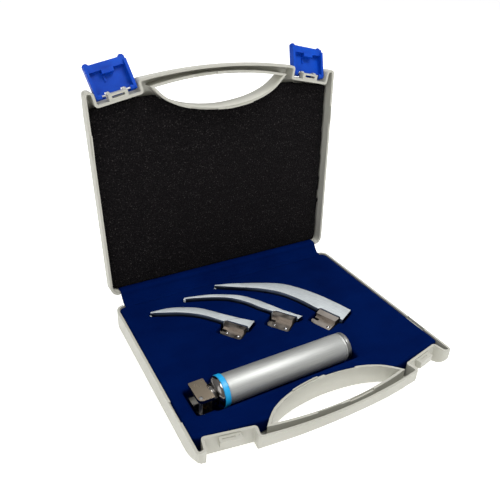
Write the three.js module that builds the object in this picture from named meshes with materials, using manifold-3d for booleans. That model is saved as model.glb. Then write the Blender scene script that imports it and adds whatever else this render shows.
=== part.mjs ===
// Laryngoscope set in its moulded carrying case: a cylindrical handle with a hook-on
// head, three curved blades, a fitted insert and a hinged lid with two latches.
// Millimetres, +Z up. The origin is on the underside of the base, +Y runs to the hinge.
import * as THREE from 'three';
import { ConvexGeometry } from 'three/addons/geometries/ConvexGeometry.js';
import { mergeVertices } from 'three/addons/utils/BufferGeometryUtils.js';
import Module from 'manifold-3d';

const wasm = await Module();
wasm.setup();

// ---- case ----
const RIM_Z = 27;
const LID_RIM_Z = 27.3;
const LID_TOP_Z = 54.3;
const WALL = 2.4;
const FLOOR = 2.4;
// how far the rounding of the shells' outer faces reaches in and up
const BASE_SIDE_ROUND = 3.2;
const LID_SIDE_ROUND = 10;
const FRONT_ROUND = 30;
const BACK_ROUND = 2;
const ROUND_HIGH = 20;
const LOBE_ROUND = 24;
const LOBE_HIGH = 8;
// the underside's rise towards the front as y and height
const FRONT_RISE = [[-130, 24.9], [-118, 17.5], [-110, 12.5], [-60, 0]];
const BACK_RIM_CUT = 1.1;

// the case's right half as the middle line of its wall: x, y, corner setback
const BACK_CORNER = [133.9, 106.5, 9];
const LOBE_OUTER = [137.4, -102, 3.8];
const LOBE_INNER = [130.6, -101, 2.6];
const NICHE_OUTER = [127.9, -88.8, 2.2];
const NICHE_INNER = [83.5, -98, 2.2];
const GRIP_CORNER = [85.9, -109.2, 3];
const GRIP_FRONT_Y = -116.5;

// the hand hole behind the grip
const HOLE_TIP = [73.7, -102.2];
const HOLE_SHOULDER = [58.5, -88.6];
const HOLE_CREST = [34, -79.2];
const HOLE_BACK_Y = -75.3;
const HOLE_FRONT_Y = -110;

// the raised keys on the hand hole's rims: from x, to x, and whether on its front wall
const KEY_HIGH = 1.5;
const BASE_KEYS = [[-35, -5.5, false], [-29, -5.6, true]];
const LID_KEYS = [[3.2, 34.8, false], [5, 32, true]];

// ---- lid hinge ----
const HINGE_Y = 114.96;
const HINGE_Z = 27.36;
const LID_OPEN = 95.3;
const KNUCKLE_X = 85;
const KNUCKLE_R = 3.6;
const HINGE_PIN_R = 1.4;
const HINGE_BORE_R = 1.55;

// ---- latches ----
const LATCH_OUT = 5;
const LATCH_Z = 33.3;
const LATCH_OPEN = 114;
const LATCH_HALF = 20.2;
const LATCH_PIN_R = 1;
const LATCH_BORE_R = 1.15;
const CATCH_HALF = 9.5;
const CATCH_DEEP = 6;
const CATCH_FOOT = 3.6;

// ---- soft linings ----
const FOAM_DEPTH = 14;
const LINING_GAP = 0.4;
const INSERT_TOP = 26.7;
const FLAP_HALF = 125;

// ---- handle, lying along X ----
const HANDLE_X = -4.5;
const HANDLE_Y = -49;
const HANDLE_Z = 26;
const TUBE_R = 14;
const TUBE_BORE = 13.2;
const TUBE_START = -83;
const TUBE_END = 44.5;
const HEAD_HALF_Z = 9.6;
const SLOT_HALF_Z = 6.4;
const CHEEK_HALF_Y = 12.4;
const CHEEK_START = -112.5;
const CHEEK_END = -101;
const BAR_X = -109.4;
const BAR_Y = -8.2;
const BAR_R = 1.6;
const PLUNGER_OUT = 1.5;
const CELL_R = 12.7;
const CELL_LENGTH = 50;

// ---- blades, lying on their sides with the web on top ----
const WEB_TOP = 29;
const WEB_THICK = 1.5;
const SPATULA_LOW = 12;
const BLOCK_LONG = 24;
const LEDGE_DEEP = 5.5;
const LEDGE_IN = 3;
const LEDGE_TOP = 28.4;
const LEDGE_LOW = 11;
const BLOCK_TOP = 24.2;
const BLOCK_LOW = 11.9;
const BALL_R = 1.7;
const BALL_TRAVEL = 0.8;

// each blade: where its block's inner corner lies, the direction its tip runs, its block's
// depth, and the two edges of its web as points forward of that corner and across
const BLADES = [
  {
    size: 4,
    at: [54.9, 7.4],
    turn: 112.6,
    deep: 17.5,
    rivet: false,
    outer: [
      [-26.5, -23], [-3.5, -24.5], [18, -24.5], [41, -21],
      [59.5, -14.5], [79, 1], [101, 23.5], [112.5, 38],
    ],
    inner: [[-28.5, 0], [0, 0], [19.5, -1], [36, -0.5], [52, 2.5], [71, 11.5], [87.5, 22.5], [111.5, 40]],
  },
  {
    size: 3,
    at: [10.1, 26.7],
    turn: 126.4,
    deep: 20,
    rivet: true,
    outer: [
      [-30.5, -6], [-10.5, -7], [5.5, -9.5], [24, -11.5],
      [42, -10.5], [60, -3.5], [74.5, 5.5], [94.5, 22.5],
    ],
    inner: [[-27.5, 1.5], [0, 1.5], [16, 1], [32, -1], [49.5, 0.5], [62, 5.5], [77.5, 14.5], [93, 25.5]],
  },
  {
    size: 2,
    at: [-43.1, 34.8],
    turn: 127.4,
    deep: 16,
    rivet: true,
    outer: [
      [-27.5, -13], [-16, -11.5], [3, -10], [20.5, -9.5],
      [35, -7.5], [51, -0.5], [62.5, 7.5], [74.5, 21.5],
    ],
    inner: [[-27, 2], [0, 2.5], [17.5, 2.5], [32.5, 4.5], [48, 10], [58, 15.5], [73.5, 24]],
  },
];

const SHELL_COLOUR = 0xcdcbc0;
const LATCH_COLOUR = 0x1446c8;
const STEEL_COLOUR = 0xb8b4ae;
const BLADE_COLOUR = 0xc4c8ca;
const NAVY_COLOUR = 0x001748;
const FOAM_COLOUR = 0x141316;

// ---- helpers ----
function solid(geometry) {
  geometry.deleteAttribute('normal');
  geometry.deleteAttribute('uv');
  const merged = mergeVertices(geometry, 1e-4);
  return new wasm.Manifold(new wasm.Mesh({
    numProp: 3,
    vertProperties: merged.attributes.position.array,
    triVerts: new Uint32Array(merged.index.array),
  }));
}

function geometryOf(body) {
  const mesh = body.getMesh();
  const geometry = new THREE.BufferGeometry();
  geometry.setAttribute('position', new THREE.BufferAttribute(new Float32Array(mesh.vertProperties), 3));
  geometry.setIndex(new THREE.BufferAttribute(new Uint32Array(mesh.triVerts), 1));
  geometry.computeVertexNormals();
  return geometry;
}

function material(color, roughness, metalness = 0) {
  return new THREE.MeshStandardMaterial({ color, roughness, metalness });
}

function piece(name, geometry, look) {
  const mesh = new THREE.Mesh(geometry, look);
  mesh.name = name;
  return mesh;
}

// a polygon's corners rounded: each vertex is x, y and the setback of its curve
function rounded(vertices, steps = 4) {
  const points = [];
  const count = vertices.length;
  for (let i = 0; i < count; i += 1) {
    const [x, y, setback = 0] = vertices[i];
    const corner = new THREE.Vector2(x, y);
    if (setback === 0) {
      points.push(corner);
      continue;
    }
    const [px, py] = vertices[(i + count - 1) % count];
    const [nx, ny] = vertices[(i + 1) % count];
    const before = new THREE.Vector2(px - x, py - y).setLength(setback).add(corner);
    const after = new THREE.Vector2(nx - x, ny - y).setLength(setback).add(corner);
    points.push(...new THREE.QuadraticBezierCurve(before, corner, after).getPoints(steps));
  }
  return points;
}

// a closed polygon grown by a distance, or shrunk by a negative one
function grown(points, distance) {
  const sign = THREE.ShapeUtils.isClockWise(points) ? -1 : 1;
  return points.map((point, i) => {
    const before = points[(i + points.length - 1) % points.length];
    const after = points[(i + 1) % points.length];
    const a = point.clone().sub(before).normalize();
    const b = after.clone().sub(point).normalize();
    const normal = new THREE.Vector2(a.y + b.y, -a.x - b.x).normalize();
    const reach = Math.min(1.8, 1 / Math.max(0.1, normal.x * a.y - normal.y * a.x));
    return point.clone().addScaledVector(normal, sign * distance * reach);
  });
}

function slab(points, low, high) {
  const geometry = new THREE.ExtrudeGeometry(new THREE.Shape(points), {
    depth: high - low,
    bevelEnabled: false,
  });
  return geometry.translate(0, 0, low);
}

// the rounded body that bounds a shell's outside, or with a play its inside or its lining
function pillow(sideRound, play, low) {
  const points = [];
  for (let step = 0; step <= 7; step += 1) {
    const angle = (Math.PI / 2) * (step / 7);
    const share = 1 - Math.cos(angle);
    for (const [x, y, nx, ny] of hullLine) {
      const atLobe = Math.abs(x) > 130 && y < -90;
      const lift = atLobe ? LOBE_HIGH : 0;
      const z = low + lift + (ROUND_HIGH - lift - play) * (1 - Math.sin(angle));
      const deep = ny < 0 ? FRONT_ROUND - play : BACK_ROUND;
      const inX = atLobe ? Math.sign(x) * 0.7 * LOBE_ROUND : nx * Math.max(0, sideRound - play);
      const inY = atLobe ? -0.7 * LOBE_ROUND : ny * deep;
      const place = [x - nx * play - inX * share, y - ny * play - inY * share];
      points.push(new THREE.Vector3(...place, z));
      if (step === 0) {
        points.push(new THREE.Vector3(...place, 2 * RIM_Z));
      }
    }
  }
  const rise = vectors([...FRONT_RISE, [130, 0], [130, 60], [-130, 60]]);
  const ramp = slab(rise, -150, 150);
  // local x, y, z become row y, z, x
  ramp.applyMatrix4(new THREE.Matrix4().set(0, 0, 1, 0, 1, 0, 0, 0, 0, 1, 0, low, 0, 0, 0, 1));
  return solid(new ConvexGeometry(points)).intersect(solid(ramp));
}

function block(centre, size) {
  return solid(new THREE.BoxGeometry(...size).translate(...centre));
}

function rod(radius, start, end, segments = 24) {
  const geometry = new THREE.CylinderGeometry(radius, radius, end - start, segments);
  return geometry.rotateZ(-Math.PI / 2).translate((start + end) / 2, 0, 0);
}

// a body turned about X from its profile of x, radius
function turned(profile, segments = 36) {
  const points = profile.map(([x, r]) => new THREE.Vector2(r, x));
  return new THREE.LatheGeometry(points, segments).rotateZ(-Math.PI / 2);
}

function arcPoints(cx, cy, r, from, to, steps) {
  const points = [];
  for (let i = 0; i <= steps; i += 1) {
    const angle = THREE.MathUtils.degToRad(from + ((to - from) * i) / steps);
    points.push([cx + r * Math.cos(angle), cy + r * Math.sin(angle)]);
  }
  return points;
}

const vectors = (pairs) => pairs.map(([x, y]) => new THREE.Vector2(x, y));
const radians = THREE.MathUtils.degToRad;

// ---- outlines ----
function caseOutline() {
  const right = [BACK_CORNER, LOBE_OUTER, LOBE_INNER, NICHE_OUTER, NICHE_INNER, GRIP_CORNER];
  const front = [];
  for (let x = 70; x >= -70; x -= 14) {
    front.push([x, GRIP_FRONT_Y + (GRIP_CORNER[1] - GRIP_FRONT_Y) * (x / GRIP_CORNER[0]) ** 2, 0]);
  }
  const left = right.map(([x, y, setback]) => [-x, y, setback]).reverse();
  return rounded([...right, ...front, ...left]);
}

function holeOutline() {
  const half = [HOLE_TIP, HOLE_SHOULDER, HOLE_CREST];
  const back = [...half, [0, HOLE_BACK_Y], ...half.map(([x, y]) => [-x, y]).reverse()];
  const front = [];
  for (let x = -66; x <= 66; x += 12) {
    front.push([x, HOLE_FRONT_Y + (HOLE_TIP[1] - HOLE_FRONT_Y) * (x / HOLE_TIP[0]) ** 2]);
  }
  return [...new THREE.SplineCurve(vectors(back)).getPoints(24), ...vectors(front)];
}

// the case's outline without its niches, each point with its outward direction
function bowedHull() {
  const half = [
    [135.2, 107.8], [138.37, -80], [138.7, -99.5],
    [138.2, -102.2], [136.4, -103.9], [113, -107.6],
  ];
  for (let x = 90; x > 0; x -= 15) {
    half.push([x, -117.9 + 7.3 * (x / 86.6) ** 2]);
  }
  const line = [...half, [0, -117.9], ...half.map(([x, y]) => [-x, y]).reverse()];
  return line.map(([x, y], i) => {
    const [px, py] = line[(i + line.length - 1) % line.length];
    const [nx, ny] = line[(i + 1) % line.length];
    const a = new THREE.Vector2(x - px, y - py).normalize();
    const b = new THREE.Vector2(nx - x, ny - y).normalize();
    if (i === 0 || i === line.length - 1) {
      return [x, y, Math.sign(x), 1];
    }
    const out = new THREE.Vector2(-a.y - b.y, a.x + b.x).normalize();
    return [x, y, out.x, out.y];
  });
}

// the insert and the lid foam stop at the latch niches and at the wall of the hand hole
function liningOutline(gap) {
  const inset = WALL / 2 + gap;
  const right = [
    BACK_CORNER,
    [LOBE_OUTER[0] - 0.4, NICHE_OUTER[1] + 2.5, 0],
    [NICHE_OUTER[0], NICHE_OUTER[1], 0],
    [77, NICHE_INNER[1] + 1.5, 0],
  ];
  const left = right.map(([x, y, setback]) => [-x, y, setback]).reverse();
  return grown(rounded([...right, ...left]), -inset);
}

const hullLine = bowedHull();
const wallLine = caseOutline();
const holeLine = holeOutline();
const outside = grown(wallLine, WALL / 2);
const inside = grown(wallLine, -WALL / 2);
const holeWall = grown(holeLine, WALL / 2);
const holeClear = grown(holeLine, -WALL / 2);

// the middle of a latch niche and the frame that stands on its wall: X runs along the
// niche, Y runs in towards the case
const NICHE_MIDDLE = [
  (NICHE_OUTER[0] + NICHE_INNER[0]) / 2,
  (NICHE_OUTER[1] + NICHE_INNER[1]) / 2,
];
const NICHE_TURN = Math.atan2(NICHE_OUTER[1] - NICHE_INNER[1], NICHE_OUTER[0] - NICHE_INNER[0]);

function nicheMatrix(side, z) {
  const turn = NICHE_TURN * side;
  const matrix = new THREE.Matrix4().makeRotationZ(turn);
  const out = WALL / 2;
  matrix.setPosition(
    side * (NICHE_MIDDLE[0] + out * Math.sin(NICHE_TURN)),
    NICHE_MIDDLE[1] - out * Math.cos(NICHE_TURN),
    z,
  );
  return matrix;
}

function inNiche(body, side, z) {
  return body.transform(nicheMatrix(side, z).elements);
}

// ---- shells ----
// a half shell standing on its face at z = 0 with its rim at the given depth
function halfShell(depth, backCut, sideRound) {
  let shell = solid(slab(outside, 0, depth)).intersect(pillow(sideRound, 0, 0));
  let cavity = solid(slab(inside, FLOOR, depth + 1)).intersect(pillow(sideRound, WALL, FLOOR));
  cavity = cavity.subtract(solid(slab(holeWall, 0, depth + 2)));
  shell = shell.subtract(cavity);
  shell = shell.subtract(solid(slab(holeClear, -1, depth + 2)));
  return shell.subtract(block([0, 108, depth], [2 * FLAP_HALF + 3, 12, 2 * backCut]));
}

// a stretch of the hand hole's wall, its outer half only: the keys that seat the two rims
function rimKey(start, end, atFront, low, high, play) {
  const ring = solid(slab(grown(holeLine, WALL / 2 + play), low, high));
  const hole = solid(slab(grown(holeLine, 0.1 - play), low - 1, high + 1));
  const y = atFront ? -112 : -80;
  const part = block([(start + end) / 2, y, 0], [end - start + 2 * play, 20, 200]);
  return ring.subtract(hole).intersect(part);
}

// the hinge arm's side view as y, z: a knuckle round the pin, joined to the back wall
function hingeArm(up) {
  const arc = arcPoints(HINGE_Y, HINGE_Z, KNUCKLE_R, 135, -100, 12);
  const outline = vectors([[106.3, 8], [106.3, 20.5], ...arc]);
  const profile = up ? outline.map((p) => new THREE.Vector2(p.x, 2 * HINGE_Z - p.y)) : outline;
  return profile;
}

function armSolid(up, middle, width) {
  const geometry = slab(hingeArm(up), -width / 2, width / 2);
  // local x, y, z become row y, z, x
  geometry.applyMatrix4(new THREE.Matrix4().set(0, 0, 1, middle, 1, 0, 0, 0, 0, 1, 0, 0, 0, 0, 0, 1));
  return solid(geometry);
}

function hingeRod(radius, middle, length) {
  return rod(radius, middle - length / 2, middle + length / 2, 16).translate(0, HINGE_Y, HINGE_Z);
}

function baseShell() {
  let shell = halfShell(RIM_Z, BACK_RIM_CUT, BASE_SIDE_ROUND);
  for (const side of [-1, 1]) {
    for (const ear of [-13.5, 13.5]) {
      shell = shell.add(armSolid(false, side * KNUCKLE_X + ear, 8));
    }
    shell = shell.subtract(solid(hingeRod(HINGE_BORE_R, side * KNUCKLE_X, 60)));
    const catchBody = block([0, -CATCH_DEEP / 2 + 0.5, 0], [2 * CATCH_HALF, CATCH_DEEP + 1, 7]);
    const groove = block([-1.5, -CATCH_DEEP / 2, 3.5], [11, 1.4, 1.6]);
    const dimple = block([7.2, -CATCH_DEEP / 2 + 0.4, 3.5], [1.2, 1.2, 1.6]);
    shell = shell.add(inNiche(catchBody.subtract(groove).subtract(dimple), side, 21.8));
    // the shallower foot that the latch's nub hooks under
    shell = shell.add(inNiche(block([0, -CATCH_FOOT / 2 + 0.5, 0], [15, CATCH_FOOT + 1, 4]), side, 17.6));
    // the side wall's locating slot, open to the inside
    shell = shell.subtract(block([side * 135.9, -54.5, RIM_Z], [1.8, 25, 5]));
  }
  for (const [start, end, atFront] of BASE_KEYS) {
    shell = shell.add(rimKey(start, end, atFront, RIM_Z - 1, RIM_Z + KEY_HIGH, 0));
  }
  for (const [start, end, atFront] of LID_KEYS) {
    shell = shell.subtract(rimKey(start, end, atFront, RIM_Z - KEY_HIGH - 0.2, RIM_Z + 3, 0.4));
  }
  return geometryOf(shell);
}

// the lid is modelled closed, in the case's frame, with its axis moved to the origin
function lidShell() {
  let shell = halfShell(LID_TOP_Z - LID_RIM_Z, BACK_RIM_CUT, LID_SIDE_ROUND);
  shell = shell.mirror([0, 0, 1]).translate([0, 0, LID_TOP_Z]);
  for (const side of [-1, 1]) {
    shell = shell.add(armSolid(true, side * KNUCKLE_X, 18.4));
    shell = shell.subtract(solid(hingeRod(HINGE_BORE_R, side * KNUCKLE_X, 60)));
    const loop = block([0, -CATCH_DEEP / 2 + 0.5, 0], [2 * CATCH_HALF, CATCH_DEEP + 1, 4]);
    const slot = block([0, -CATCH_DEEP / 2, 0], [12.5, 2.2, 8]);
    shell = shell.add(inNiche(loop.subtract(slot), side, LID_RIM_Z + 2.3));
    for (const lug of [-7.9, 7.9]) {
      let ear = solid(rod(2.3, lug - 1.6, lug + 1.6, 16).translate(0, -LATCH_OUT, 0));
      ear = ear.add(block([lug, (0.6 - LATCH_OUT) / 2, 0], [3.2, LATCH_OUT + 0.6, 4.2]));
      shell = shell.add(inNiche(ear, side, LATCH_Z));
    }
    const bore = solid(rod(LATCH_BORE_R, -12, 12, 16).translate(0, -LATCH_OUT, 0));
    shell = shell.subtract(inNiche(bore, side, LATCH_Z));
    // the locating tongue that drops into the base's slot
    shell = shell.add(block([side * 136, -54, LID_RIM_Z], [0.9, 20, 4]));
  }
  for (const [start, end, atFront] of LID_KEYS) {
    shell = shell.add(rimKey(start, end, atFront, LID_RIM_Z - KEY_HIGH, LID_RIM_Z + 1, 0));
  }
  for (const [start, end, atFront] of BASE_KEYS) {
    shell = shell.subtract(rimKey(start, end, atFront, LID_RIM_Z - 3, LID_RIM_Z + KEY_HIGH + 0.2, 0.4));
  }
  return geometryOf(shell.translate([0, -HINGE_Y, -HINGE_Z]));
}

// a latch about its own pin, hanging closed: the plate is outside the catch
function latchGeometry() {
  const face = -1.7;
  const thick = 2.6;
  const outline = rounded([
    [-LATCH_HALF, 2.4, 1], [-LATCH_HALF, -31.2, 2], [-16, -32.2, 1.5], [-13.6, -29.4, 1],
    [13.6, -29.4, 1], [16, -32.2, 1.5], [LATCH_HALF, -31.2, 2], [LATCH_HALF, 2.4, 1],
  ], 3);
  const plate = slab(outline, -thick / 2, thick / 2);
  plate.rotateX(Math.PI / 2).translate(0, face - thick / 2, 0);
  let latch = solid(plate);
  latch = latch.subtract(block([0, face, -13], [34, 2.8, 17]));
  latch = latch.add(block([0, -0.8, -25.7], [2 * LATCH_HALF - 1, 3.4, 7]));
  latch = latch.add(block([0, -0.4, -20.4], [11.5, 5.8, 4]));
  latch = latch.add(block([-4.6, -2.4, -14.6], [1.4, 1.8, 5]));
  latch = latch.add(block([0, face - thick, -26], [30, 1.4, 4.4]));
  for (const side of [-1, 1]) {
    latch = latch.add(solid(rod(2.4, side * 17.1 - 3.1, side * 17.1 + 3.1, 16)));
    latch = latch.add(block([side * 18.8, 0.2, -13], [2.8, 4.8, 26]));
    latch = latch.subtract(block([side * 7.9, -3, 0.5], [4.2, 6, 7.5]));
  }
  latch = latch.subtract(solid(rod(LATCH_BORE_R, -30, 30, 16)));
  return geometryOf(latch);
}

// ---- linings ----
function insertGeometry() {
  const top = INSERT_TOP;
  let body = solid(slab(liningOutline(LINING_GAP), FLOOR + 0.3, top));
  body = body.intersect(pillow(BASE_SIDE_ROUND, WALL + LINING_GAP, FLOOR + 0.3));
  body = body.subtract(solid(slab(grown(holeLine, WALL / 2 + LINING_GAP), 0, 40)));
  const cut = (low, x0, x1, y0, y1) => {
    const size = [x1 - x0, y1 - y0, 40];
    body = body.subtract(block([(x0 + x1) / 2, (y0 + y1) / 2, low + 20], size));
  };
  const headEnd = HANDLE_X + CHEEK_END;
  cut(10.6, headEnd + 0.6, HANDLE_X + TUBE_END + 8.6, HANDLE_Y - 19, HANDLE_Y + 15.6);
  cut(13.5, HANDLE_X + CHEEK_START - 4.5, headEnd + 1, HANDLE_Y - 17, HANDLE_Y + 15);
  for (const blade of BLADES) {
    const web = [...webLine(blade.outer), ...webLine(blade.inner).reverse()];
    const base = vectors([[-BLOCK_LONG, -2], [0.5, -2], [0.5, blade.deep], [-BLOCK_LONG, blade.deep]]);
    for (const [outline, gap] of [[web, 1.2], [base, 1.5]]) {
      const pocket = solid(slab(grown(outline, gap), 9, 40));
      body = body.subtract(pocket.rotate([0, 0, blade.turn]).translate([...blade.at, 0]));
    }
  }
  return geometryOf(body);
}

function foamGeometry() {
  const low = FLOOR + 0.3;
  let body = solid(slab(liningOutline(LINING_GAP), low, LID_TOP_Z - LID_RIM_Z - FOAM_DEPTH));
  body = body.intersect(pillow(LID_SIDE_ROUND, WALL + LINING_GAP, low));
  body = body.mirror([0, 0, 1]).translate([0, 0, LID_TOP_Z]);
  body = body.subtract(solid(slab(grown(holeLine, WALL / 2 + LINING_GAP), 0, 80)));
  return geometryOf(body.translate([0, -HINGE_Y, -HINGE_Z]));
}

function flapGeometry(low) {
  return new THREE.BoxGeometry(2 * FLAP_HALF, 4.6, 0.7).translate(0, 107.6, low + 0.35);
}

// ---- handle: built along X about its own axis ----
function headGeometry() {
  let head = solid(turned([
    [CHEEK_END + 0.5, 0], [CHEEK_END + 0.5, 8.6], [-99.2, 9.9], [-97.4, 10.4], [-95.6, 10],
    [-94.7, 9.6], [-94.2, 10.8], [-93, 12.7], [-91.4, 14.1], [-90.2, 14.6], [-88.9, 14.6],
    [-88.9, 12], [-78, 12], [-78, 0],
  ]));
  const half = CHEEK_HALF_Y;
  const side = rounded([
    [CHEEK_START, -half, 5], [CHEEK_END + 3, -half, 1], [CHEEK_END + 3, half, 1], [CHEEK_START, half, 1.5],
  ]);
  head = head.add(solid(slab(side, -HEAD_HALF_Z, HEAD_HALF_Z)));
  head = head.subtract(block([CHEEK_START, 0, 0], [2 * (CHEEK_END - CHEEK_START), 40, 2 * SLOT_HALF_Z]));
  const bar = new THREE.CylinderGeometry(BAR_R + 0.15, BAR_R + 0.15, 40, 16).rotateX(Math.PI / 2);
  head = head.subtract(solid(bar.translate(BAR_X, BAR_Y, 0)));
  // the bore that holds the insulator and the sprung contact
  head = head.subtract(solid(rod(4.3, CHEEK_END - 4, -70, 24)));
  return geometryOf(head);
}

function insulatorGeometry() {
  const sleeve = turned([
    [-100.8, 1.8], [-100.8, 4], [-78.5, 4], [-78.5, 2.7], [-97.5, 2.7], [-97.5, 1.8], [-100.8, 1.8],
  ], 24);
  return sleeve;
}

function plungerGeometry() {
  return turned([
    [CHEEK_END - PLUNGER_OUT, 0], [CHEEK_END - PLUNGER_OUT, 0.9], [-101.6, 1.5], [-97.1, 1.5],
    [-97.1, 2.4], [-95.5, 2.4], [-95.5, 0],
  ], 20);
}

function coil(radius, wire, start, end, turns) {
  const path = [];
  const steps = turns * 8;
  for (let i = 0; i <= steps; i += 1) {
    const angle = (2 * Math.PI * i) / 8;
    const x = start + ((end - start) * i) / steps;
    path.push(new THREE.Vector3(x, radius * Math.cos(angle), radius * Math.sin(angle)));
  }
  const section = new THREE.Shape(vectors(arcPoints(0, 0, wire, 0, 300, 5)));
  return new THREE.ExtrudeGeometry(section, {
    steps,
    bevelEnabled: false,
    extrudePath: new THREE.CatmullRomCurve3(path),
  });
}

function tubeGeometry() {
  return turned([
    [TUBE_START, 12.4], [TUBE_START, TUBE_R - 0.3], [TUBE_START + 0.4, TUBE_R],
    [TUBE_END - 2.6, TUBE_R], [TUBE_END - 2.6, TUBE_R - 0.5], [TUBE_END - 1.8, TUBE_R - 0.5],
    [TUBE_END - 1.8, TUBE_R], [TUBE_END - 0.3, TUBE_R], [TUBE_END, TUBE_R - 0.3],
    [TUBE_END, TUBE_BORE], [-76, TUBE_BORE], [-76, 12.4], [TUBE_START, 12.4],
  ], 40);
}

function ringGeometry() {
  return turned([
    [-88.6, 12.3], [-88.6, 14.6], [-88.2, 15], [-83.7, 15], [-83.3, 14.6], [-83.3, 12.3], [-88.6, 12.3],
  ], 40);
}

function cellGeometry(start) {
  const end = start + CELL_LENGTH;
  return turned([
    [start, 0], [start, 3], [start + 1.6, 3.2], [start + 1.6, CELL_R - 0.6], [start + 2.2, CELL_R],
    [end - 0.6, CELL_R], [end, CELL_R - 0.6], [end, 0],
  ], 20);
}

function capGeometry() {
  const plug = turned([
    [TUBE_END + 0.3, 0], [TUBE_END + 0.3, 13.6], [TUBE_END + 0.7, 14], [TUBE_END + 3.9, 14],
    [TUBE_END + 4.6, 13.3], [TUBE_END + 5, 11], [TUBE_END + 5, 0],
  ], 40);
  let cap = solid(plug);
  cap = cap.add(solid(turned([
    [TUBE_END - 6, 0], [TUBE_END - 6, 12.4], [TUBE_END - 5.4, 12.9], [TUBE_END + 1, 12.9], [TUBE_END + 1, 0],
  ], 40)));
  cap = cap.subtract(solid(rod(9.5, TUBE_END - 10, TUBE_END + 1, 24)));
  return geometryOf(cap);
}

// ---- blades: built in their own frame, X towards the tip, the block on the +Y side ----
function webLine(points) {
  return new THREE.SplineCurve(vectors(points)).getPoints(20);
}

function bladeGeometry(blade) {
  const outer = webLine(blade.outer);
  const inner = webLine(blade.inner);
  let body = solid(slab([...outer, ...inner.slice().reverse()], WEB_TOP - WEB_THICK, WEB_TOP));
  const tip = inner[inner.length - 1];
  // the spatula follows the web's inner edge and hangs from it
  const strip = inner.map((point, i) => {
    const ahead = inner[Math.min(i + 1, inner.length - 1)];
    const behind = inner[Math.max(i - 1, 0)];
    const along = ahead.clone().sub(behind).normalize();
    return point.clone().add(new THREE.Vector2(along.y, -along.x).multiplyScalar(WEB_THICK));
  });
  const spatula = slab([...inner, ...strip.reverse()], SPATULA_LOW, WEB_TOP - 0.2);
  body = body.add(solid(spatula));
  // the block's ledge is let into the web's edge
  const notchY = blade.inner[1][1] + 0.1 - LEDGE_IN;
  body = body.subtract(block([-BLOCK_LONG / 2, notchY + 10, 20], [BLOCK_LONG + 0.6, 20, 20]));
  const bead = new THREE.CylinderGeometry(1.15, 1.15, WEB_TOP - SPATULA_LOW - 3, 12).rotateX(Math.PI / 2);
  body = body.add(solid(bead.translate(tip.x, tip.y - 0.8, (WEB_TOP + SPATULA_LOW + 2.6) / 2)));
  // the free edge narrows towards the rounded tip
  const taper = block([20, 0, -8], [70, 80, 16]).rotate([0, 12, 0]);
  return geometryOf(body.subtract(taper.translate([tip.x - 20, tip.y, SPATULA_LOW + 1.5])));
}

function blockGeometry(blade) {
  const edge = blade.inner[1][1] + 0.4;
  const ledge = vectors([
    [-BLOCK_LONG, edge - LEDGE_IN], [0, edge - LEDGE_IN],
    [-1, LEDGE_DEEP], [-BLOCK_LONG + 0.5, LEDGE_DEEP],
  ]);
  let body = solid(slab(ledge, LEDGE_LOW, LEDGE_TOP));
  const deep = blade.deep;
  const key = rounded([
    [-BLOCK_LONG + 0.5, LEDGE_DEEP - 1], [-1, LEDGE_DEEP - 1], [-1, LEDGE_DEEP + 2.5, 0.8],
    [0, deep - 4, 1], [-2, deep - 1, 0.6], [-7, deep, 0.6], [-BLOCK_LONG, deep, 1.2],
  ], 3);
  body = body.add(solid(slab(key, BLOCK_LOW, BLOCK_TOP)));
  // the hook notch that drops over the handle's bar
  const notchY = LEDGE_DEEP + 4.2;
  const notch = new THREE.CylinderGeometry(1.85, 1.85, 40, 16).rotateX(Math.PI / 2);
  body = body.subtract(solid(notch.translate(-5, notchY, 18)));
  body = body.subtract(block([-2, notchY, 18], [6, 3.7, 40]));
  for (const z of [BLOCK_TOP, BLOCK_LOW]) {
    const inward = z > 18 ? -1 : 1;
    const socket = new THREE.CylinderGeometry(BALL_R + 0.2, BALL_R + 0.2, 8, 16).rotateX(Math.PI / 2);
    const seatDeep = 2 * BALL_R + BALL_TRAVEL - 0.7;
    body = body.subtract(solid(socket.translate(...ballAt(blade), z - inward * (4 - seatDeep))));
  }
  // a blind seat for the contact stud in the block's foot
  const seat = new THREE.CylinderGeometry(1.9, 1.9, 6, 16);
  body = body.subtract(solid(seat.translate(-13, deep + 1, 18)));
  if (blade.rivet) {
    const hole = new THREE.CylinderGeometry(1.4, 1.4, 4, 16).rotateX(Math.PI / 2);
    body = body.subtract(solid(hole.translate(...rivetAt(blade), BLOCK_TOP)));
  }
  return geometryOf(body);
}

const ballAt = (blade) => [-BLOCK_LONG + 3.6, blade.deep - 4.2];
const rivetAt = (blade) => [-8.2, blade.deep - 4];

function studGeometry(blade) {
  return new THREE.CylinderGeometry(1.3, 1.6, 2.6, 12).translate(-13, blade.deep - 0.4, 18);
}

function rivetGeometry(blade) {
  const profile = vectors([[0, -1.6], [1.2, -1.6], [1.2, 0], [1, 0.5], [0.5, 0.75], [0, 0.8]]);
  const dome = new THREE.LatheGeometry(profile, 16).rotateX(Math.PI / 2);
  return dome.translate(...rivetAt(blade), BLOCK_TOP);
}

function ballGeometry(blade, z, inward) {
  const ball = new THREE.SphereGeometry(BALL_R, 12, 8);
  return ball.translate(...ballAt(blade), z + inward * (BALL_R - 0.9));
}

// the lamp stands on the spatula's inner side, fed by a thin tube from the block
function lightTubeGeometry(blade) {
  const line = webLine(blade.inner);
  const count = Math.round(line.length * 0.62);
  const from = line.findIndex((point) => point.x > 1.5);
  const path = [];
  for (let i = from; i < count; i += 2) {
    path.push(new THREE.Vector3(line[i].x, line[i].y - WEB_THICK - 2.4, 22.5));
  }
  const section = new THREE.Shape(vectors(arcPoints(0, 0, 1.1, 0, 315, 7)));
  return new THREE.ExtrudeGeometry(section, {
    steps: path.length * 2,
    bevelEnabled: false,
    extrudePath: new THREE.CatmullRomCurve3(path),
  });
}

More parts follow.
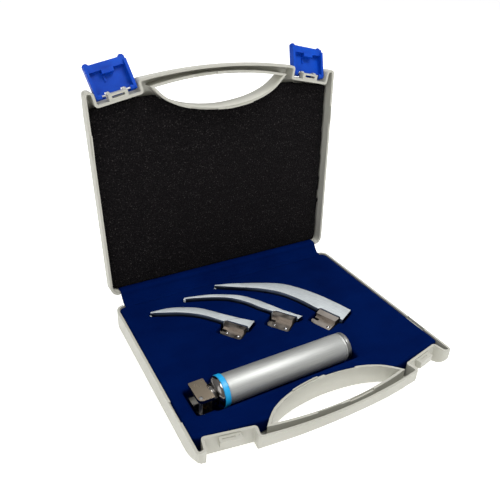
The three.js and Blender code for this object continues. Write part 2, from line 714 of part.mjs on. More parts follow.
function lampGeometry(blade) {
  const line = webLine(blade.inner);
  const count = Math.round(line.length * 0.62);
  const at = line[count];
  const back = line[count - 1];
  const turn = Math.atan2(at.y - back.y, at.x - back.x);
  const profile = [[0.6, 0], [0.6, 1.3], [3, 1.4], [4.4, 1], [5, 0]];
  return turned(profile, 16).rotateZ(turn).translate(at.x, at.y - WEB_THICK - 2.4, 22.5);
}

// ---- assembly ----
const shellLook = () => material(SHELL_COLOUR, 0.55);
const steelLook = () => material(STEEL_COLOUR, 0.22, 1);

const set = new THREE.Group();

set.add(piece('base_shell', baseShell(), shellLook()));
set.add(piece('insert', insertGeometry(), material(NAVY_COLOUR, 0.95)));
set.add(piece('flap_base', flapGeometry(RIM_Z - 0.75), material(NAVY_COLOUR, 0.95)));
for (const [side, word] of [[-1, 'left'], [1, 'right']]) {
  set.add(piece(`hinge_pin_${word}`, hingeRod(HINGE_PIN_R, side * KNUCKLE_X, 34.5), steelLook()));
}

const lid = new THREE.Group();
lid.position.set(0, HINGE_Y, HINGE_Z);
lid.rotation.x = -radians(LID_OPEN);
lid.add(piece('lid_shell', lidShell(), shellLook()));
lid.add(piece('lid_foam', foamGeometry(), material(FOAM_COLOUR, 1)));
const lidFlap = flapGeometry(LID_RIM_Z + 0.1).translate(0, -HINGE_Y, -HINGE_Z);
lid.add(piece('flap_lid', lidFlap, material(NAVY_COLOUR, 0.95)));
for (const [side, word] of [[-1, 'left'], [1, 'right']]) {
  const niche = new THREE.Group();
  nicheMatrix(side, LATCH_Z).decompose(niche.position, niche.quaternion, niche.scale);
  niche.position.y -= HINGE_Y;
  niche.position.z -= HINGE_Z;
  const pin = rod(LATCH_PIN_R, -19.8, 19.8, 16);
  const axis = new THREE.Group();
  axis.position.y = -LATCH_OUT;
  axis.add(piece(`latch_pin_${word}`, pin, steelLook()));
  const latch = piece(`latch_${word}`, latchGeometry(), material(LATCH_COLOUR, 0.35));
  latch.rotation.x = -radians(LATCH_OPEN);
  axis.add(latch);
  niche.add(axis);
  lid.add(niche);
}
set.add(lid);

const handle = new THREE.Group();
handle.position.set(HANDLE_X, HANDLE_Y, HANDLE_Z);
handle.add(piece('handle_head', headGeometry(), steelLook()));
const barBody = new THREE.CylinderGeometry(BAR_R, BAR_R, 2 * HEAD_HALF_Z - 0.2, 16).rotateX(Math.PI / 2);
handle.add(piece('hinge_bar', barBody.translate(BAR_X, BAR_Y, 0), steelLook()));
handle.add(piece('contact_insulator', insulatorGeometry(), material(0x1a1a1a, 0.6)));
handle.add(piece('contact_plunger', plungerGeometry(), material(0xc9a24a, 0.3, 1)));
handle.add(piece('contact_spring', coil(1.9, 0.3, -93.9, -80, 6), steelLook()));
handle.add(piece('colour_ring', ringGeometry(), material(0x29b4ee, 0.4)));
handle.add(piece('handle_tube', tubeGeometry(), material(0xb4b6b8, 0.35, 1)));
handle.add(piece('battery_front', cellGeometry(-75), material(0x30343a, 0.4)));
handle.add(piece('battery_rear', cellGeometry(-24.6), material(0x30343a, 0.4)));
handle.add(piece('cap_spring', coil(6, 0.5, 26.6, TUBE_END - 1.1, 5), steelLook()));
handle.add(piece('end_cap', capGeometry(), material(0xb4b6b8, 0.35, 1)));
set.add(handle);

for (const blade of BLADES) {
  const group = new THREE.Group();
  group.position.set(blade.at[0], blade.at[1], 0);
  group.rotation.z = radians(blade.turn);
  const name = `blade${blade.size}`;
  const brass = () => material(0xc9a24a, 0.3, 1);
  group.add(piece(`${name}_body`, bladeGeometry(blade), material(BLADE_COLOUR, 0.45, 1)));
  group.add(piece(`${name}_block`, blockGeometry(blade), steelLook()));
  group.add(piece(`${name}_stud`, studGeometry(blade), brass()));
  group.add(piece(`${name}_light_tube`, lightTubeGeometry(blade), steelLook()));
  group.add(piece(`${name}_lamp`, lampGeometry(blade), material(0xf4f4e8, 0.1)));
  group.add(piece(`${name}_ball_upper`, ballGeometry(blade, BLOCK_TOP, -1), steelLook()));
  group.add(piece(`${name}_ball_lower`, ballGeometry(blade, BLOCK_LOW, 1), steelLook()));
  if (blade.rivet) {
    group.add(piece(`${name}_rivet`, rivetGeometry(blade), steelLook()));
  }
  set.add(group);
}

export default set;
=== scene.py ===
# A laryngoscope set in its open carrying case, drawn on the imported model's frame.
import math
import random

import bmesh
import bpy
from mathutils import Matrix, Vector


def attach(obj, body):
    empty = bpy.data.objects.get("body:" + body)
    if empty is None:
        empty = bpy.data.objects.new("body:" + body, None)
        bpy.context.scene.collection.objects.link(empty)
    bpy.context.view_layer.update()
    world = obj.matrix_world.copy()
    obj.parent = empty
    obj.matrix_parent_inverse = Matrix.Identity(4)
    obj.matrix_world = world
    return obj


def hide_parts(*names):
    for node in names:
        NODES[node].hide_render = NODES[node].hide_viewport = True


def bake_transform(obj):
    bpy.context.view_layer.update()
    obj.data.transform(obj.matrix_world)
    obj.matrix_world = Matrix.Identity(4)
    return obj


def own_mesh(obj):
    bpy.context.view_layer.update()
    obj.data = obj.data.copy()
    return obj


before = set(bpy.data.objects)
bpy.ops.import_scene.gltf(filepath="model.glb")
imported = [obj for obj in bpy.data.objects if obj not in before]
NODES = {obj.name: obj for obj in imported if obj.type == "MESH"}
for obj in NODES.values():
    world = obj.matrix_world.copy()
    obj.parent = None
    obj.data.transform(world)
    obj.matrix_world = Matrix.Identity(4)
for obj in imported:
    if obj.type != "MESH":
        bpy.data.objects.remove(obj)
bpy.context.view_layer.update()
MM = 0.001

# ---------------------------------------------------------------- camera
SCENE = bpy.context.scene
SCENE.view_settings.view_transform = "Standard"
SCENE.view_settings.look = "None"

AZIMUTH = math.radians(31.33)
ELEVATION = math.radians(30.655)
ROLL = math.radians(3.268)
EYE = (-0.2622, -0.3663, 0.3847)
LENS = 40.43
look = Vector((
    math.sin(AZIMUTH) * math.cos(ELEVATION),
    math.cos(AZIMUTH) * math.cos(ELEVATION),
    -math.sin(ELEVATION),
))
right = look.cross(Vector((0, 0, 1))).normalized()
up = right.cross(look)
x_axis = math.cos(ROLL) * right + math.sin(ROLL) * up
y_axis = -math.sin(ROLL) * right + math.cos(ROLL) * up
camera_data = bpy.data.cameras.new("camera")
camera_data.sensor_width = 36
camera_data.lens = LENS
camera_data.clip_start = 0.01
camera = bpy.data.objects.new("camera", camera_data)
SCENE.collection.objects.link(camera)
camera.matrix_world = Matrix((
    (x_axis.x, y_axis.x, -look.x, EYE[0]),
    (x_axis.y, y_axis.y, -look.y, EYE[1]),
    (x_axis.z, y_axis.z, -look.z, EYE[2]),
    (0, 0, 0, 1),
))
SCENE.camera = camera


# ---------------------------------------------------------------- materials
def srgb(r, g, b):
    """0 to 255 screen values as a linear colour."""
    out = []
    for value in (r, g, b):
        c = value / 255
        out.append(c / 12.92 if c <= 0.04045 else ((c + 0.055) / 1.055) ** 2.4)
    return (*out, 1.0)


class Look:
    """A node material with its shader's sockets and a few helpers."""

    def __init__(self, name, colour, roughness, metallic=0.0, **sockets):
        self.material = bpy.data.materials.new(name)
        self.material.use_nodes = True
        self.tree = self.material.node_tree
        self.shader = self.tree.nodes["Principled BSDF"]
        self.coords = self.tree.nodes.new("ShaderNodeTexCoord")
        self.shader.inputs["Base Color"].default_value = colour
        self.shader.inputs["Roughness"].default_value = roughness
        self.shader.inputs["Metallic"].default_value = metallic
        for socket, value in sockets.items():
            self.shader.inputs[socket.replace("_", " ")].default_value = value

    def place(self, scale=(1, 1, 1), space="Object"):
        node = self.tree.nodes.new("ShaderNodeMapping")
        node.inputs["Scale"].default_value = scale
        self.tree.links.new(self.coords.outputs[space], node.inputs["Vector"])
        return node.outputs["Vector"]

    def noise(self, vector, scale, detail=3.0, roughness=0.55):
        node = self.tree.nodes.new("ShaderNodeTexNoise")
        node.inputs["Scale"].default_value = scale
        node.inputs["Detail"].default_value = detail
        node.inputs["Roughness"].default_value = roughness
        self.tree.links.new(vector, node.inputs["Vector"])
        return node.outputs["Fac"]

    def cells(self, vector, scale):
        node = self.tree.nodes.new("ShaderNodeTexVoronoi")
        node.feature = "F1"
        node.inputs["Scale"].default_value = scale
        node.inputs["Randomness"].default_value = 1.0
        self.tree.links.new(vector, node.inputs["Vector"])
        return node.outputs["Distance"]

    def ramp(self, value, stops):
        node = self.tree.nodes.new("ShaderNodeValToRGB")
        ramp = node.color_ramp
        while len(ramp.elements) < len(stops):
            ramp.elements.new(0.5)
        for element, (place, colour) in zip(ramp.elements, stops):
            element.position = place
            element.color = colour
        self.tree.links.new(value, node.inputs["Fac"])
        return node.outputs["Color"]

    def mix(self, factor, a, b, mode="MIX"):
        node = self.tree.nodes.new("ShaderNodeMix")
        node.data_type = "RGBA"
        node.blend_type = mode
        for socket, value in ((node.inputs[0], factor), (node.inputs[6], a), (node.inputs[7], b)):
            if isinstance(value, bpy.types.NodeSocket):
                self.tree.links.new(value, socket)
            else:
                socket.default_value = value
        return node.outputs[2]

    def bump(self, heights):
        """heights: (height socket, strength, distance in mm), the coarse one first."""
        normal = None
        for height, strength, distance in heights:
            node = self.tree.nodes.new("ShaderNodeBump")
            node.inputs["Strength"].default_value = strength
            node.inputs["Distance"].default_value = distance * MM
            self.tree.links.new(height, node.inputs["Height"])
            if normal is not None:
                self.tree.links.new(normal, node.inputs["Normal"])
            normal = node.outputs["Normal"]
        self.tree.links.new(normal, self.shader.inputs["Normal"])

    def set(self, socket, value):
        self.tree.links.new(value, self.shader.inputs[socket])


def grey(v):
    return (v, v, v, 1)


def case_plastic():
    look = Look("case_plastic", srgb(200, 198, 187), 0.55, Specular_IOR_Level=0.35)
    spot = look.place()
    cloud = look.noise(spot, 14, 4)
    tint = look.ramp(cloud, [(0.3, srgb(184, 183, 172)), (0.7, srgb(190, 189, 179))])
    speck = look.noise(spot, 900, 2)
    look.set("Base Color", look.mix(look.ramp(speck, [(0.62, grey(0)), (0.72, grey(0.25))]),
                                    tint, srgb(166, 163, 152)))
    dull = look.noise(spot, 60, 3)
    look.set("Roughness", look.ramp(dull, [(0.3, grey(0.42)), (0.7, grey(0.58))]))
    look.bump([(look.noise(spot, 1100, 3), 0.35, 0.12), (look.cells(spot, 2300), 0.25, 0.06)])
    return look.material


def latch_plastic():
    look = Look("latch_plastic", srgb(2, 67, 178), 0.42, Specular_IOR_Level=0.2)
    spot = look.place()
    cloud = look.noise(spot, 70, 3)
    look.set("Base Color", look.ramp(cloud, [(0.3, srgb(1, 60, 168)), (0.7, srgb(4, 74, 190))]))
    dull = look.noise(spot, 300, 2)
    look.set("Roughness", look.ramp(dull, [(0.3, grey(0.36)), (0.7, grey(0.5))]))
    look.bump([(look.noise(spot, 900, 3), 0.18, 0.08)])
    return look.material


def navy_plush():
    look = Look("navy_plush", srgb(0, 14, 60), 0.95, Sheen_Weight=0.025, Sheen_Roughness=0.5,
                Sheen_Tint=srgb(10, 60, 170), Specular_IOR_Level=0.015)
    spot = look.place()
    nap = look.noise(look.place((1, 1.6, 1)), 16, 5, 0.6)
    pile = look.noise(spot, 1500, 4, 0.7)
    base = look.ramp(nap, [(0.32, srgb(0, 11, 55)), (0.68, srgb(0, 20, 72))])
    look.set("Base Color", look.mix(look.ramp(pile, [(0.35, grey(0.0)), (0.7, grey(0.5))]),
                                    base, srgb(1, 28, 88)))
    fold = look.noise(look.place((1, 2.4, 1)), 7, 2)
    look.bump([(fold, 0.35, 5.0), (look.noise(spot, 45, 4), 0.25, 1.2), (pile, 0.5, 0.35)])
    return look.material


def open_cell_foam():
    look = Look("open_cell_foam", srgb(14, 13, 16), 0.97, Specular_IOR_Level=0.08)
    spot = look.place()
    cell = look.cells(spot, 620)
    fleck = look.noise(spot, 820, 2, 0.8)
    # the pores are painted darker towards their centres: painted shade in the pits the same cells
    # press into the bump
    base = look.ramp(cell, [(0.1, srgb(2, 2, 3)), (0.75, srgb(22, 20, 21))])
    light = look.ramp(fleck, [(0.62, grey(0)), (0.71, grey(0.65))])
    look.set("Base Color", look.mix(light, base, srgb(102, 98, 96)))
    look.bump([(look.noise(spot, 130, 3), 0.5, 1.2), (cell, 0.9, 0.9)])
    return look.material


def polished_steel(name, tone, rough=0.16):
    look = Look(name, tone, rough, 1.0)
    spot = look.place()
    smear = look.noise(spot, 120, 4)
    look.set("Roughness", look.ramp(smear, [(0.3, grey(rough * 0.75)), (0.75, grey(rough * 1.6))]))
    look.bump([(look.noise(look.place((1, 1, 6)), 700, 2), 0.12, 0.03)])
    return look.material


def knurled_steel():
    """Fine crossed knurling; u runs round the tube and v along it, both in millimetres."""
    look = Look("knurled_steel", srgb(196, 197, 194), 0.5, 0.7)
    flat = look.place((1, 1, 1), "UV")
    heights = []
    for turn in (math.radians(35), math.radians(-35)):
        node = look.tree.nodes.new("ShaderNodeMapping")
        node.inputs["Rotation"].default_value = (0, 0, turn)
        look.tree.links.new(flat, node.inputs["Vector"])
        wave = look.tree.nodes.new("ShaderNodeTexWave")
        wave.inputs["Scale"].default_value = 0.42
        wave.inputs["Distortion"].default_value = 0.0
        look.tree.links.new(node.outputs["Vector"], wave.inputs["Vector"])
        heights.append(wave.outputs["Fac"])
    cross = look.mix(1.0, heights[0], heights[1], "MULTIPLY")
    streak = look.noise(look.place((0.05, 3, 1), "UV"), 1.0, 4)
    look.set("Roughness", look.ramp(streak, [(0.3, grey(0.44)), (0.7, grey(0.56))]))
    shade = look.ramp(streak, [(0.3, srgb(184, 186, 184)), (0.7, srgb(206, 207, 203))])
    look.set("Base Color", shade)
    look.bump([(cross, 0.4, 0.12)])
    return look.material


def brushed_blade():
    """Matt silver, brushed along the blade; u runs along it and v across, in millimetres."""
    look = Look("brushed_blade", srgb(212, 219, 222), 0.5, 0.2, Specular_IOR_Level=0.4)
    line = look.noise(look.place((0.09, 2.2, 1), "UV"), 1.0, 5, 0.65)
    patch = look.noise(look.place((0.35, 0.5, 1), "UV"), 1.0, 3)
    shade = look.ramp(line, [(0.3, srgb(182, 190, 194)), (0.7, srgb(226, 231, 232))])
    look.set("Base Color", look.mix(look.ramp(patch, [(0.4, grey(0)), (0.8, grey(0.35))]),
                                    shade, srgb(236, 240, 240)))
    look.set("Roughness", look.ramp(line, [(0.3, grey(0.38)), (0.7, grey(0.56))]))
    look.bump([(line, 0.35, 0.1)])
    return look.material


def plain(name, colour, roughness, metallic=0.0, scale=400.0, **sockets):
    look = Look(name, colour, roughness, metallic, **sockets)
    spot = look.place()
    wear = look.noise(spot, scale, 3)
    dull = min(1, roughness * 1.25)
    look.set("Roughness", look.ramp(wear, [(0.3, grey(roughness * 0.8)), (0.7, grey(dull))]))
    look.bump([(wear, 0.12, 0.05)])
    return look.material


CASE = case_plastic()
LATCH = latch_plastic()
NAVY = navy_plush()
FOAM = open_cell_foam()
# the head's chrome has a darkened base colour: a painted dark reflection
HEAD_CHROME_PAINTED_DARK = polished_steel("head_chrome_painted_dark", srgb(128, 125, 122), 0.14)
WARM_STEEL = polished_steel("warm_steel", srgb(174, 160, 142), 0.3)
BLOCK_STEEL = polished_steel("block_steel", srgb(174, 166, 158), 0.34)
# dark bluish steel: painted shade and painted reflection of the navy lining, for the blades' edges
EDGE_STEEL_PAINTED_SHADE = polished_steel("edge_steel_painted_shade", srgb(60, 68, 84), 0.34)
CAP_STEEL = polished_steel("cap_steel", srgb(142, 142, 140), 0.36)
PIN_STEEL = polished_steel("pin_steel", srgb(196, 196, 198), 0.3)
BALL_STEEL = polished_steel("ball_steel", srgb(226, 226, 228), 0.08)
KNURL = knurled_steel()
BLADE = brushed_blade()
RING = plain("cyan_ring", srgb(30, 172, 236), 0.36)
BLACK = plain("black_insulator", srgb(26, 26, 28), 0.55)
BRASS = plain("brass_contact", srgb(206, 170, 92), 0.28, 1.0)
CELL = plain("cell_sleeve", srgb(52, 56, 62), 0.4)
LAMP = plain("lamp_glass", srgb(240, 238, 226), 0.12, 0.0, 300.0, Transmission_Weight=0.7)


def smooth_faces(mesh):
    mesh.polygons.foreach_set("use_smooth", [True] * len(mesh.polygons))


# ---------------------------------------------------------------- carried-over CAD nodes
def finish_cad(names, material, bevel=0.35, angle=40):
    """A CAD node keeps its shape: its edges are eased by modifiers and it gets a material."""
    for name in names:
        obj = NODES[name]
        obj.data.materials.clear()
        obj.data.materials.append(material)
        smooth_faces(obj.data)
        weld = obj.modifiers.new("weld", "WELD")
        weld.merge_threshold = 1e-6
        if bevel:
            soften = obj.modifiers.new("ease", "BEVEL")
            soften.width = bevel * MM
            soften.segments = 2
            soften.limit_method = "ANGLE"
            soften.angle_limit = math.radians(angle)
            soften.harden_normals = False
        normals = obj.modifiers.new("normals", "WEIGHTED_NORMAL")
        normals.keep_sharp = True
        normals.weight = 80


finish_cad(["base_shell", "lid_shell"], CASE, 0.4)
finish_cad(["latch_left", "latch_right"], LATCH, 0.3)
finish_cad(["hinge_pin_left", "hinge_pin_right", "latch_pin_left", "latch_pin_right",
            "contact_spring", "cap_spring", "hinge_bar"], PIN_STEEL, 0.15)
finish_cad(["handle_head"], HEAD_CHROME_PAINTED_DARK, 0.4)
NODES["handle_head"].data.materials.append(WARM_STEEL)
# the upper cheek's top face is a warmer, duller steel
CHEEK_TOP = 0.034
CHEEK_BACK = -0.1025
for face in NODES["handle_head"].data.polygons:
    if face.normal.z > 0.95 and face.center.z > CHEEK_TOP and face.center.x < CHEEK_BACK:
        face.material_index = 1
finish_cad(["colour_ring"], RING, 0.1)
finish_cad(["contact_insulator"], BLACK, 0.1)
finish_cad(["contact_plunger"], BRASS, 0.08)
finish_cad(["battery_front", "battery_rear"], CELL, 0.2)
for size in (4, 3, 2):
    tag = f"blade{size}"
    finish_cad([f"{tag}_block"], BLOCK_STEEL, 0.3)
    finish_cad([f"{tag}_stud"], BRASS, 0.08)
    finish_cad([f"{tag}_light_tube"], PIN_STEEL, 0)
    finish_cad([f"{tag}_lamp"], LAMP, 0)
    finish_cad([f"{tag}_ball_upper", f"{tag}_ball_lower"], BALL_STEEL, 0)
    if size < 4:
        finish_cad([f"{tag}_rivet"], BALL_STEEL, 0)


# ---------------------------------------------------------------- mesh helpers
TUBE_RADIUS = 14
TURNED_SEGMENTS = 96

def new_object(name, vertices, faces, material, uvs, sharp):
    mesh = bpy.data.meshes.new(name)
    mesh.from_pydata([tuple(c * MM for c in v) for v in vertices], [], faces)
    if uvs is not None:
        layer = mesh.uv_layers.new(name="UVMap")
        for polygon in mesh.polygons:
            for loop, corner in zip(polygon.loop_indices, uvs[polygon.index]):
                layer.data[loop].uv = corner
    mesh.validate()
    obj = bpy.data.objects.new(name, mesh)
    SCENE.collection.objects.link(obj)
    obj.data.materials.append(material)
    work = bmesh.new()
    work.from_mesh(mesh)
    bmesh.ops.recalc_face_normals(work, faces=work.faces)
    work.to_mesh(mesh)
    work.free()
    smooth_faces(mesh)
    mesh.set_sharp_from_angle(angle=math.radians(sharp))
    return obj


def spline(points, count):
    """A smooth curve through the points, as the frame's own curves run."""
    out = []
    last = len(points) - 1
    for i in range(count + 1):
        at = last * i / count
        k = min(int(at), last - 1)
        t = at - k
        a = points[max(k - 1, 0)]
        b = points[k]
        c = points[k + 1]
        d = points[min(k + 2, last)]
        if k == 0:
            a = b
        if k == last - 1:
            d = c
        out.append(tuple(
            0.5 * (2 * q + (r - p) * t + (2 * p - 5 * q + 4 * r - s) * t * t
                   + (3 * q - p - 3 * r + s) * t ** 3)
            for p, q, r, s in zip(a, b, c, d)
        ))
    return out


def loft(name, rings, material, uvs, sharp):
    """Closed rings of equal length joined into a skin with capped ends.

    uvs: one u for each ring and one v for each corner, each list with one more at its end.
    """
    us, vs = uvs
    count = len(rings[0])
    vertices = [v for ring in rings for v in ring]
    faces = []
    corners = []
    total = len(rings)
    for i in range(total - 1):
        for j in range(count):
            a, b = i * count, (i + 1) * count
            k = (j + 1) % count
            faces.append((a + j, a + k, b + k, b + j))
            corners.append([
                (us[i], vs[j]), (us[i], vs[j + 1]), (us[i + 1], vs[j + 1]), (us[i + 1], vs[j]),
            ])
    for ring in (0, total - 1):
        faces.append(tuple(ring * count + j for j in range(count)))
        corners.append([(us[ring], vs[j]) for j in range(count)])
    return new_object(name, vertices, faces, material, corners, sharp)


def turned_x(name, profile, centre, material):
    """A body turned about an axis along X from its profile of x and radius."""
    rings = []
    us = []
    length = 0.0
    for i, (x, r) in enumerate(profile):
        if i:
            length += math.dist(profile[i - 1], profile[i])
        us.append(length)
        ring = []
        for j in range(TURNED_SEGMENTS):
            angle = 2 * math.pi * j / TURNED_SEGMENTS
            ring.append((x, centre[0] + r * math.cos(angle), centre[1] + r * math.sin(angle)))
        rings.append(ring)
    around = [2 * math.pi * TUBE_RADIUS * j / TURNED_SEGMENTS for j in range(TURNED_SEGMENTS + 1)]
    us.append(length)
    return loft(name, rings, material, (us, around), 30)


def apply_modifiers(obj):
    bpy.context.view_layer.update()
    graph = bpy.context.evaluated_depsgraph_get()
    mesh = bpy.data.meshes.new_from_object(obj.evaluated_get(graph))
    obj.modifiers.clear()
    old = obj.data
    obj.data = mesh
    bpy.data.meshes.remove(old)


def soft_copy(node, name, material, voxel, rounds):
    """A soft piece in a CAD solid's place, with its edges rounded over."""
    mesh = NODES[node].data.copy()
    obj = bpy.data.objects.new(name, mesh)
    SCENE.collection.objects.link(obj)
    mesh.materials.clear()
    mesh.materials.append(material)
    weld = obj.modifiers.new("weld", "WELD")
    weld.merge_threshold = 1e-6
    remesh = obj.modifiers.new("remesh", "REMESH")
    remesh.mode = "VOXEL"
    remesh.voxel_size = voxel * MM
    smooth = obj.modifiers.new("smooth", "SMOOTH")
    smooth.factor = 0.5
    smooth.iterations = rounds
    apply_modifiers(obj)
    smooth_faces(obj.data)
    return obj


# ---------------------------------------------------------------- linings
insert = soft_copy("insert", "insert_plush", NAVY, 1.5, 5)
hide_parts("insert")
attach(insert, "base")

# the lid's own depth direction while it stands open, and a point on its hinge's axis
LID_OPEN = math.radians(95.3)
LID_DEPTH = Vector((0, math.sin(LID_OPEN), math.cos(LID_OPEN)))
HINGE = Vector((0, 0.11496, 0.02736))
FOAM_FRONT = 0.0185
FOAM_PROUD = 0.0058
FOAM_FADE = 0.003


def loose_foam():
    """The frame's slab is as thin as the shut lid presses it: at rest its face stands prouder."""
    obj = soft_copy("lid_foam", "lid_foam_slab", FOAM, 2.5, 3)
    for vertex in obj.data.vertices:
        deep = (vertex.co - HINGE).dot(LID_DEPTH)
        if deep < FOAM_FRONT:
            vertex.co -= LID_DEPTH * FOAM_PROUD * min(1.0, (FOAM_FRONT - deep) / FOAM_FADE)
    return obj


foam = loose_foam()
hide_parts("lid_foam")
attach(foam, "lid")
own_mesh(foam)

# the plush flap: over the base's back rim, across the hinge gap and up to the foam
FLAP_PATH = [
    (102.8, 26.3), (104.4, 27.2), (106.4, 27.35), (108.6, 27.6), (110.6, 29.2), (112.8, 31.4),
    (114.6, 33.6), (115.6, 35.6), (117.2, 37.3), (120.0, 37.5), (123.0, 37.2), (125.6, 36.9),
]
FLAP_WIDTH = 250
FLAP_STEPS = 36
FLAP_COLUMNS = 120
FLAP_THICK = 0.6


def flap():
    wave = random.Random(7)
    bumps = []
    for _ in range(6):
        bumps.append((wave.uniform(2, 9), wave.uniform(0, 6.28), wave.uniform(0.05, 0.22)))
    line = spline(FLAP_PATH, FLAP_STEPS)
    vertices = []
    faces = []
    for i in range(FLAP_COLUMNS + 1):
        x = -FLAP_WIDTH / 2 + FLAP_WIDTH * i / FLAP_COLUMNS
        for j, (y, z) in enumerate(line):
            loose = math.sin(math.pi * j / FLAP_STEPS)
            lift = sum(a * math.sin(f * x / 40 + p) for f, p, a in bumps) * loose
            vertices.append((x, y - lift * 0.7, z + lift * 0.7))
    rows = len(line)
    for i in range(FLAP_COLUMNS):
        for j in range(rows - 1):
            a = i * rows + j
            faces.append((a, a + rows, a + rows + 1, a + 1))
    obj = new_object("hinge_flap", vertices, faces, NAVY, None, 180)
    thick = obj.modifiers.new("thick", "SOLIDIFY")
    thick.thickness = FLAP_THICK * MM
    thick.offset = 0
    apply_modifiers(obj)
    smooth_faces(obj.data)
    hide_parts("flap_base", "flap_lid")
    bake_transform(obj)


flap()


# ---------------------------------------------------------------- handle
AXIS = (-49.0, 26.0)
TUBE = [
    (-87.5, 12.4), (-87.5, 13.6), (-87.3, 13.85), (-86.9, 14), (37.2, 14), (37.4, 13.9),
    (37.5, 13.5), (38.1, 13.5), (38.2, 13.9), (38.4, 14), (39.6, 14), (39.9, 13.9), (40.0, 13.7),
    (40.0, 13.2), (-80.5, 13.2), (-80.5, 12.4), (-87.5, 12.4),
]
tube = turned_x("handle_tube_knurled", TUBE, AXIS, KNURL)
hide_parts("handle_tube")
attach(tube, "handle")
finish_cad(["end_cap"], CAP_STEEL, 0.5)

# ---------------------------------------------------------------- blades
# the same web edges as the frame's, forward of each block's inner corner and across
BLADES = {
    4: {
        "at": (54.9, 7.4), "turn": 112.6,
        "outer": [(-26.5, -23), (-3.5, -24.5), (18, -24.5), (41, -21), (59.5, -14.5), (79, 1),
                  (101, 23.5), (112.5, 38)],
        "inner": [(-28.5, 0), (0, 0), (19.5, -1), (36, -0.5), (52, 2.5), (71, 11.5), (87.5, 22.5),
                  (111.5, 40)],
    },
    3: {
        "at": (10.1, 26.7), "turn": 126.4,
        "outer": [(-30.5, -6), (-10.5, -7), (5.5, -9.5), (24, -11.5), (42, -10.5), (60, -3.5),
                  (74.5, 5.5), (94.5, 22.5)],
        "inner": [(-27.5, 1.5), (0, 1.5), (16, 1), (32, -1), (49.5, 0.5), (62, 5.5), (77.5, 14.5),
                  (93, 25.5)],
    },
    2: {
        "at": (-43.1, 34.8), "turn": 127.4,
        "outer": [(-27.5, -13), (-16, -11.5), (3, -10), (20.5, -9.5), (35, -7.5), (51, -0.5),
                  (62.5, 7.5), (74.5, 21.5)],
        "inner": [(-27, 2), (0, 2.5), (17.5, 2.5), (32.5, 4.5), (48, 10), (58, 15.5), (73.5, 24)],
    },
}
WEB_TOP = 29.0
THICK = 1.4
LOW = 12.0
TIP_ROUND = 12
CURVE_STEPS = 90
BEAD_SEGMENTS = 16
# how far down the tip's bead reaches
BEAD_LOW = {4: 12.9, 3: 15.6, 2: 12.9}
# where the block's ledge is let into the web's edge, and how far along it runs
BLADE_SEAT = {4: -2.9, 3: -1.4, 2: -0.4}
SEAT_FROM = -25.4
SEAT_TO = 1.4


def blade_rings(outer, inner, size):
    """Sections across the blade: a web on top, a turned edge, and the spatula hanging down."""
    steps = len(inner)
    rings = []
    seat = BLADE_SEAT[size]
    for i, (o, n) in enumerate(zip(outer, inner)):
        t = i / (steps - 1)
        if SEAT_FROM < n[0] < SEAT_TO:
            n = (n[0], min(n[1], seat))
        ahead = inner[min(i + 1, steps - 1)]
        behind = inner[max(i - 1, 0)]
        along = Vector((ahead[0] - behind[0], ahead[1] - behind[1])).normalized()
        across = Vector((o[0] - n[0], o[1] - n[1]))
        width = max(across.length, THICK * 1.2)
        side = across.normalized() if across.length > 0.4 else Vector((along.y, -along.x))
        # the last stretch of the spatula's free edge is rounded off
        left = (1 - t) * math.dist(inner[0], inner[-1])
        low = LOW
        if left < TIP_ROUND:
            near = (TIP_ROUND - left) / TIP_ROUND
            low = LOW + 7.5 * (1 - math.sqrt(max(0.0, 1 - near ** 2)))
        dip = 0.8 * math.sin(math.pi * t)
        bend = min(1.0, width / 6)
        section = [
            (0.0, low + 0.5), (0.3, low), (THICK - 0.3, low), (THICK, low + 0.5),
            (THICK, WEB_TOP - THICK - 1.2), (THICK + 0.4, WEB_TOP - THICK - 0.35),
            (THICK + 1.2, WEB_TOP - THICK), (width - 0.5, WEB_TOP - THICK - dip),
            (width - 0.1, WEB_TOP - THICK + 0.4 - dip), (width, WEB_TOP - 0.5 - dip),
            (width - 0.4, WEB_TOP - 0.05 - dip), (bend * 2.4, WEB_TOP),
            (bend * 1.6, WEB_TOP - bend * 0.25), (bend * 0.9, WEB_TOP - bend),
            (bend * 0.25, WEB_TOP - bend * 2.4), (0.0, WEB_TOP - bend * 3.2),
        ]
        ring = []
        for across_mm, z in section:
            across_mm = min(across_mm, width)
            ring.append((n[0] + side.x * across_mm, n[1] + side.y * across_mm, z))
        rings.append(ring)
    return rings


def put(obj, spec):
    """A blade's own plan is turned and moved to where it lies in the case."""
    turn = Matrix.Rotation(math.radians(spec["turn"]), 4, "Z")
    move = Matrix.Translation((spec["at"][0] * MM, spec["at"][1] * MM, 0))
    obj.data.transform(move @ turn)


# the brushing's place across the section, corner by corner, in millimetres
ACROSS = [0, 1, 2, 3, 14, 15, 16, 26, 27, 28, 29, 40, 41, 42, 43, 44, 60]
# the bead's height and radius, from its lower end
BEAD = [(0, 0.9), (0.25, 1.15), (0.8, 1.3), (2, 1.35), (12, 1.35), (12.8, 1.2), (13.2, 0.6)]

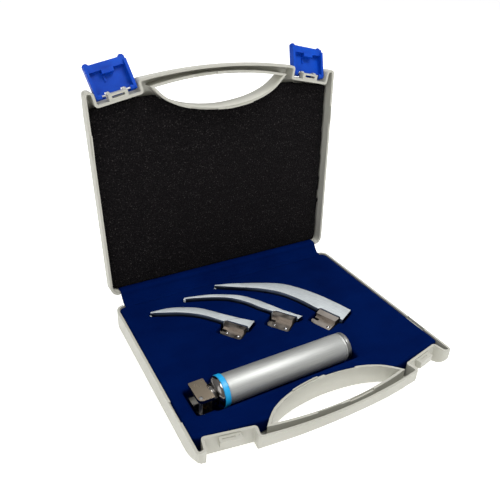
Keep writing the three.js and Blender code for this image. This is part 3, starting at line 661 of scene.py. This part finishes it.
for size, spec in BLADES.items():
    tag = f"blade{size}"
    outer = spline(spec["outer"], CURVE_STEPS)
    inner = spline(spec["inner"], CURVE_STEPS)
    rings = blade_rings(outer, inner, size)
    lengths = [0.0]
    for a, b in zip(inner, inner[1:]):
        lengths.append(lengths[-1] + math.dist(a, b))
    body = loft(f"{tag}_brushed", rings, BLADE, (lengths + [lengths[-1]], ACROSS), 50)
    # the web's rounded inner edge and both end faces get a dark bluish steel: painted shade and a
    # painted navy reflection along the edge
    body.data.materials.append(EDGE_STEEL_PAINTED_SHADE)
    around = len(rings[0])
    for polygon in body.data.polygons:
        if polygon.index % around >= around - 4 or polygon.index >= (len(rings) - 1) * around:
            polygon.material_index = 1
    tip = inner[-1]
    bead_rings = []
    for height, radius in BEAD:
        ring = []
        for j in range(BEAD_SEGMENTS):
            angle = 2 * math.pi * j / BEAD_SEGMENTS
            x = tip[0] + radius * math.cos(angle)
            y = tip[1] - 0.7 + radius * math.sin(angle)
            ring.append((x, y, BEAD_LOW[size] + height))
        bead_rings.append(ring)
    up_the_bead = [height for height, _ in BEAD] + [14]
    round_the_bead = [j * 0.5 for j in range(BEAD_SEGMENTS + 1)]
    bead = loft(f"{tag}_bead", bead_rings, BLADE, (up_the_bead, round_the_bead), 40)
    for piece in (body, bead):
        put(piece, spec)
        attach(piece, tag)
    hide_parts(f"{tag}_body")


# ---------------------------------------------------------------- floor, light
FLOOR_HALF = 4
FLOOR_GAP = 0.0002


def floor():
    mesh = bpy.data.meshes.new("floor")
    half = FLOOR_HALF
    corners = [(-half, -half, 0), (half, -half, 0), (half, half, 0), (-half, half, 0)]
    mesh.from_pydata(corners, [], [(0, 1, 2, 3)])
    obj = bpy.data.objects.new("floor", mesh)
    obj.location.z = -FLOOR_GAP
    SCENE.collection.objects.link(obj)
    look = Look("floor", srgb(246, 246, 246), 0.8, Specular_IOR_Level=0.1)
    look.set("Base Color", look.ramp(look.noise(look.place(), 3, 2),
                                     [(0.3, srgb(246, 246, 246)), (0.7, srgb(249, 249, 249))]))
    look.shader.inputs["Emission Color"].default_value = (1, 1, 1, 1)
    look.shader.inputs["Emission Strength"].default_value = 0.6
    mesh.materials.append(look.material)


def area_light(name, place, target, size, power, colour=(1, 1, 1)):
    data = bpy.data.lights.new(name, "AREA")
    data.shape = "RECTANGLE"
    data.size, data.size_y = size
    data.energy = power
    data.color = colour
    obj = bpy.data.objects.new(name, data)
    obj.location = place
    aim = Vector(target) - Vector(place)
    obj.rotation_euler = aim.to_track_quat("-Z", "Y").to_euler()
    SCENE.collection.objects.link(obj)


floor()
area_light("key", (0.4, -0.35, 1.6), (0, 0, 0.05), (0.7, 0.7), 17)
area_light("fill", (-1.4, -0.5, 0.9), (0, 0, 0.08), (1.2, 1.0), 6)
area_light("back", (0.4, 1.5, 1.2), (0, 0.05, 0.1), (1.4, 0.8), 8)

world = bpy.data.worlds.new("studio")
SCENE.world = world
world.use_nodes = True
nodes = world.node_tree.nodes
links = world.node_tree.links
background = nodes["Background"]
coords = nodes.new("ShaderNodeTexCoord")
split = nodes.new("ShaderNodeSeparateXYZ")
ramp = nodes.new("ShaderNodeValToRGB")
stops = [(0.0, (0.75, 0.75, 0.75, 1)), (0.5, (0.62, 0.6, 0.58, 1)), (0.72, (0.85, 0.85, 0.86, 1)),
         (1.0, (1, 1, 1, 1))]
while len(ramp.color_ramp.elements) < len(stops):
    ramp.color_ramp.elements.new(0.5)
for element, (place, colour) in zip(ramp.color_ramp.elements, stops):
    element.position = place
    element.color = colour
shift = nodes.new("ShaderNodeMath")
shift.operation = "MULTIPLY_ADD"
shift.inputs[1].default_value = 0.5
shift.inputs[2].default_value = 0.5
links.new(coords.outputs["Generated"], split.inputs["Vector"])
links.new(split.outputs["Z"], shift.inputs[0])
links.new(shift.outputs[0], ramp.inputs["Fac"])
links.new(ramp.outputs["Color"], background.inputs["Color"])
background.inputs["Strength"].default_value = 0.46
